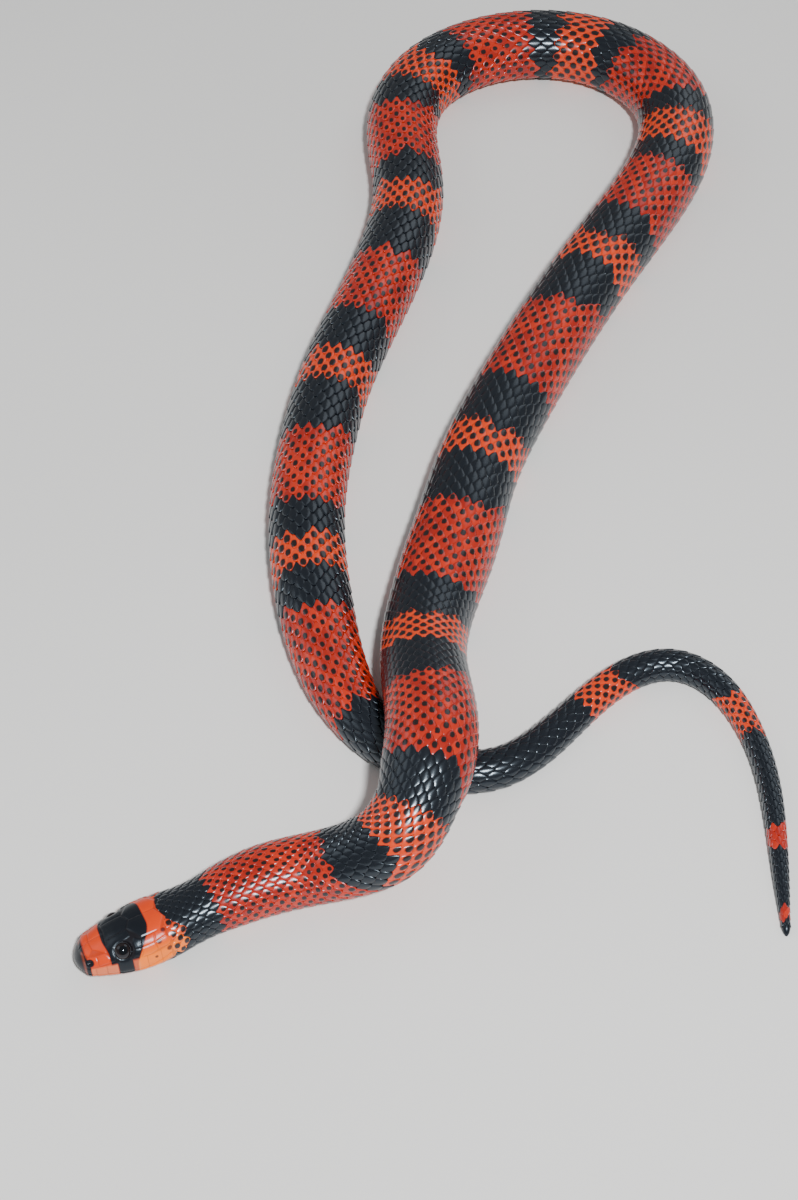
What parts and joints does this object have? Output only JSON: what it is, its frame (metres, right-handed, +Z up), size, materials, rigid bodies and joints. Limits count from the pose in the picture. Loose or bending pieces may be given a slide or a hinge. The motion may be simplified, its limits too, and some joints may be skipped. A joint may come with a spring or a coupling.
{
  "type": "milk snake model",
  "caption": "Life-size still model of a milk snake at rest in a long loop, with its neck lying over its own tail.",
  "frame": {"origin": "on the floor, under the middle of the snake's outline", "axes": "+Y away from the viewer of the picture, along the loop; +X to the viewer's right; +Z up"},
  "size_m": [0.1848, 0.38, 0.0334],
  "materials": {
    "head_shields": "smooth glossy head shields, black with an orange snout and cheeks",
    "chin_and_lips": "smooth satin shields, pale orange with black edges",
    "eye": "wet gloss over a very dark iris",
    "neck_skin": "smooth glossy scales in black, red and orange rings",
    "body_skin": "smooth glossy scales in black, red and orange rings",
    "tail_skin": "smooth glossy scales, mostly blue-black with orange-red rings"
  },
  "bodies": {
    "root": {"head": "head_shields", "lower_jaw": "chin_and_lips", "eye_left": "eye", "eye_right": "eye", "neck": "neck_skin", "body_01": "body_skin", "body_02": "body_skin", "body_03": "body_skin", "body_04": "body_skin", "body_05": "body_skin", "body_06": "body_skin", "body_07": "body_skin", "body_08": "body_skin", "body_09": "body_skin", "tail_01": "tail_skin", "tail_02": "tail_skin", "tail_03": "tail_skin"}
  },
  "joints": []
}
